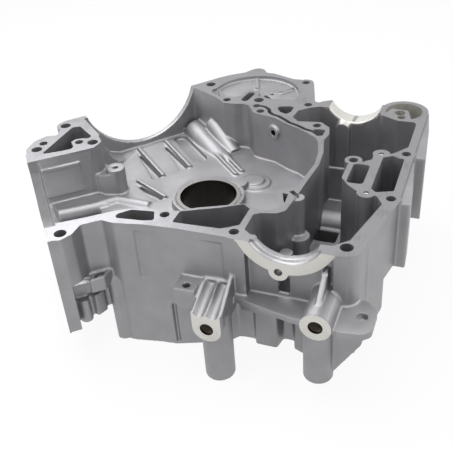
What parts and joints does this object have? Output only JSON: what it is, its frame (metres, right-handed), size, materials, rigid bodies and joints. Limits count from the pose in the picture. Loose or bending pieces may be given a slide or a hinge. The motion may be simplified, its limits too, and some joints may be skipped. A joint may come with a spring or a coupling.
{
  "type": "engine crankcase half",
  "caption": "Cast half of a V-twin crankcase lying on its open underside: flat joint face, crank chamber with a sleeved main bore, cylinder mouths and side mounts.",
  "frame": {"origin": "on the crank axis, in the plane of the joint face", "axes": "+Z along the crank axis out of the joint face, +X along the output shaft away from the flange side, +Y along the middle of the V between the cylinders"},
  "size_m": [0.3036, 0.3047, 0.106],
  "materials": {
    "casting": "fine-grained die cast skin, machined joint and flange faces",
    "sleeve": "dark, ground"
  },
  "bodies": {
    "root": {"crankcase_casting": "casting", "main_bearing_sleeve": "sleeve"}
  },
  "joints": []
}
